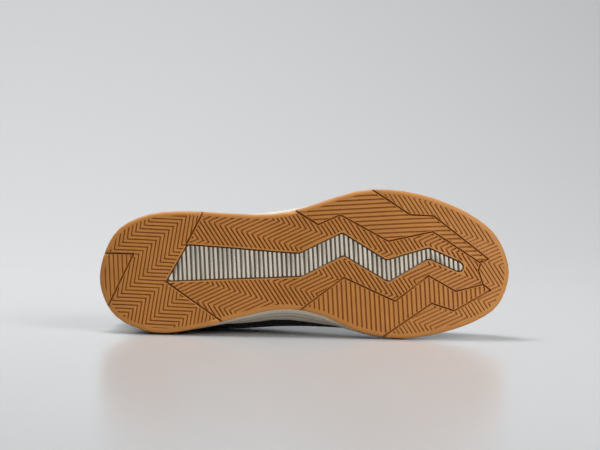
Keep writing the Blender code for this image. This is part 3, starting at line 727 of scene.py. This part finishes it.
for vert in tongue.data.vertices:
    from_middle = vert.co.y - THROAT_MIDDLE
    sunk = sum(math.exp(-((from_middle - channel) / CHANNEL_WIDTH) ** 2) for channel in CHANNELS)
    on_top = max(0.0, vert.normal.dot(THROAT_UP)) ** CHANNEL_FADE
    vert.co -= THROAT_UP * CHANNEL_DEPTH * sunk * on_top
lay_knit(tongue)
put_on(tongue, knit_fabric("black_tongue_knit", "#0F0F11", "#202024", WALE * TONGUE_GAUGE,
                           COURSE * TONGUE_GAUGE))
lay_down(tongue, sharp_degrees=70.0)
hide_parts("tongue")

# Laces
# One flat woven lace, criss-cross from a bar over the front pair of eyelets to the top pair, where both ends
# go in. Each strap dips into its eyelets and gathers there.

# A strap's section, in millimetres: across, over its middle
LACE_SECTION = (
    (-3.5, 0.0), (-3.0, -0.6), (0.0, -0.75), (3.0, -0.6),
    (3.5, 0.0), (3.0, 0.6), (0.0, 0.75), (-3.0, 0.6),
)
LACE_LIFT = 1.85
EYELET_RISE = 0.6
LACE_CROWN = 0.10
LACE_OVER = 1.5
LACE_DIP = 1.8
LACE_GATHER = 0.5
GATHER_SPANS = 2
LACE_WAYS = (0.25, 0.5, 0.75)
laces = bmesh.new()
along_lace = laces.verts.layers.float.new("along")
across_lace = laces.verts.layers.float.new("across")


def lace_end(place):
    """Points of a strap from inside an eyelet to the edge of the throat."""
    hole = place.to_translation()
    outward = place.to_3x3() @ Vector((0.0, 0.0, 1.0))
    lip = min(top_edge, key=lambda point: (point - hole).length)
    return [hole - outward * LACE_DIP, hole + outward * LACE_LIFT * EYELET_RISE, lip + outward * LACE_LIFT]


def lay_strap(start, end, over):
    """Sweeps one strap from an eyelet over the throat to an eyelet on the other side."""
    first = lace_end(start)
    final = lace_end(end)
    span = final[-1] - first[-1]
    arch = []
    for way in LACE_WAYS:
        rise = (LACE_CROWN * span.length + over) * math.sin(math.pi * way)
        arch.append(first[-1] + span * way + THROAT_UP * rise)
    path = smooth_path(first + arch + final[::-1], closed=False)
    across = THROAT_UP.cross(span).normalized()
    face = None
    length = 0.0
    for number, place in enumerate(path):
        behind = path[max(number - 1, 0)]
        ahead = path[min(number + 1, len(path) - 1)]
        thick = (ahead - behind).normalized().cross(across).normalized()
        length += (place - behind).length
        from_end = min(number, len(path) - 1 - number) / SPAN_POINTS
        gather = LACE_GATHER + (1 - LACE_GATHER) * min(1.0, from_end / GATHER_SPANS)
        corners = [place + across * x * gather + thick * y for x, y in LACE_SECTION]
        if face is None:
            face = laces.faces.new([laces.verts.new(corner) for corner in corners])
        else:
            last_face = face
            made = bmesh.ops.extrude_face_region(laces, geom=[last_face])["geom"]
            face = only(bmesh.types.BMFace, made)[0]
            if number > 1:
                bmesh.ops.delete(laces, geom=[last_face], context="FACES_ONLY")
        for loop, corner, side in zip(face.loops, corners, LACE_SECTION):
            loop.vert.co = corner
            loop.vert[along_lace] = length
            loop.vert[across_lace] = side[0]


front_pair = EYELET_PAIRS - 1
lay_strap(eyelets["medial", front_pair], eyelets["lateral", front_pair], over=0.0)
for pair in range(front_pair):
    lay_strap(eyelets["medial", pair + 1], eyelets["lateral", pair], over=0.0)
    lay_strap(eyelets["lateral", pair + 1], eyelets["medial", pair], LACE_OVER)
bmesh.ops.recalc_face_normals(laces, faces=laces.faces)
lacing = add_object("woven_laces", laces)

# Flat woven polyester: slanted ribs that meet in the middle of the lace, drawn twice as coarse as they are
# so that they show. The ribs are painted lighter on their crests and darker between them: painted highlight
# and shade.
LACE_RIB = 1.8
LACE_RIB_DEPTH = 0.25
woven, woven_shader = new_material("flat_woven_polyester")
lace_along = add_node(woven, "ShaderNodeAttribute", {"attribute_name": "along"}, {})
lace_across = add_node(woven, "ShaderNodeAttribute", {"attribute_name": "across"}, {})
lace_side = add_node(woven, "ShaderNodeMath", {"operation": "ABSOLUTE"}, {0: lace_across.outputs["Fac"]})
lace_slant = add_node(woven, "ShaderNodeMath", {"operation": "ADD"},
                      {0: lace_along.outputs["Fac"], 1: lace_side.outputs[0]})
lace_turns = add_node(woven, "ShaderNodeMath", {"operation": "MULTIPLY", 1: 2 * math.pi / LACE_RIB},
                      {0: lace_slant.outputs[0]})
lace_ribs = add_node(woven, "ShaderNodeMath", {"operation": "SINE"}, {0: lace_turns.outputs[0]})
lace_colour = add_node(woven, "ShaderNodeMixRGB",
                       {"Color1": linear("#1E1E21"), "Color2": linear("#323237")},
                       {"Fac": lace_ribs.outputs[0]})
lace_bump = add_node(woven, "ShaderNodeBump", {"Strength": 0.6, "Distance": LACE_RIB_DEPTH * MM},
                     {"Height": lace_ribs.outputs[0]})
set_node(woven_shader, {"Roughness": 0.7},
         {"Base Color": lace_colour.outputs["Color"], "Normal": lace_bump.outputs["Normal"]})
put_on(lacing, woven)
lay_down(lacing, sharp_degrees=60.0)
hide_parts("laces")

# Floor, light and camera
# A plain pale studio floor that runs up into the backdrop, soft light, and a camera that looks at the tread
# from a little below square to it.
FLOOR_REACH = 6.0
BACKDROP_AT = 0.6
BACKDROP_RADIUS = 2.4
BACKDROP_STEPS = 32
sweep = bmesh.new()
floor_front = [sweep.verts.new((side * FLOOR_REACH, -FLOOR_REACH, 0.0)) for side in (-1, 1)]


def sweep_on(edge, move):
    """Carries the free edge of the backdrop on by a move."""
    made = bmesh.ops.extrude_edge_only(sweep, edges=[edge])["geom"]
    bmesh.ops.translate(sweep, verts=only(bmesh.types.BMVert, made), vec=move)
    return only(bmesh.types.BMEdge, made)[0]


edge = sweep_on(sweep.edges.new(floor_front), (0.0, FLOOR_REACH + BACKDROP_AT, 0.0))
for number in range(BACKDROP_STEPS):
    now = math.pi / 2 * number / BACKDROP_STEPS
    then = math.pi / 2 * (number + 1) / BACKDROP_STEPS
    rise = Vector((0.0, math.sin(then) - math.sin(now), math.cos(now) - math.cos(then)))
    edge = sweep_on(edge, rise * BACKDROP_RADIUS)
sweep_on(edge, (0.0, 0.0, FLOOR_REACH))
floor = add_object("floor", sweep)
floor.data.shade_smooth()

# Coated white board: pale and even, smooth enough for a soft reflection of what lies on it
board, board_shader = new_material("coated_white_board")
set_node(board_shader, {"Base Color": linear("#D2D3D4"), "Roughness": 0.22}, {})
put_on(floor, board)

# Studio lights, in metres and watts
# columns: place; what it is aimed at; width; power
SHOE_MIDDLE = (0.0, 0.0, 0.05)
LIGHTS = {
    "overhead_softbox": ((-0.3, 0.3, 1.7), SHOE_MIDDLE, 0.5, 10.0),
    "front_softbox": ((0.95, -0.8, 0.85), SHOE_MIDDLE, 0.9, 11.0),
    "backdrop_wash": ((-0.7, 0.35, 2.2), (-0.4, 1.9, 0.3), 1.2, 40.0),
}
for name, (place, aim, width, power) in LIGHTS.items():
    light = bpy.data.lights.new(name, "AREA")
    light.shape = "DISK"
    light.size = width
    light.energy = power
    lamp = bpy.data.objects.new(name, light)
    lamp.location = place
    lamp.rotation_euler = (Vector(aim) - Vector(place)).to_track_quat("-Z", "Y").to_euler()
    bpy.context.scene.collection.objects.link(lamp)
world = bpy.data.worlds.new("studio")
world.use_nodes = True
set_node(world.node_tree.nodes["Background"], {"Color": linear("#E8ECF0"), "Strength": 0.2}, {})
bpy.context.scene.world = world
bpy.context.scene.view_settings.view_transform = "Standard"

# The camera in the shoe's own frame: millimetres, and the tilt away from square to the tread
VIEW_DISTANCE = 1651.0
VIEW_CENTRE = Vector((147.2, -31.7, 0.0))
VIEW_BELOW_SQUARE = math.radians(6.7)
CAMERA_LENS = 135.0
SENSOR_WIDTH = 36.0
camera_data = bpy.data.cameras.new("camera")
camera_data.lens = CAMERA_LENS
camera_data.sensor_width = SENSOR_WIDTH
camera = bpy.data.objects.new("camera", camera_data)
out = Vector((0.0, math.sin(VIEW_BELOW_SQUARE), -math.cos(VIEW_BELOW_SQUARE)))
right = Vector((1.0, 0.0, 0.0))
eye = SHOE @ (VIEW_CENTRE + out * VIEW_DISTANCE)
axes = Matrix((right, out.cross(right), out)).transposed()
camera.matrix_world = Matrix.Translation(eye) @ (SHOE_TURN @ axes).to_4x4()
bpy.context.scene.collection.objects.link(camera)
bpy.context.scene.camera = camera
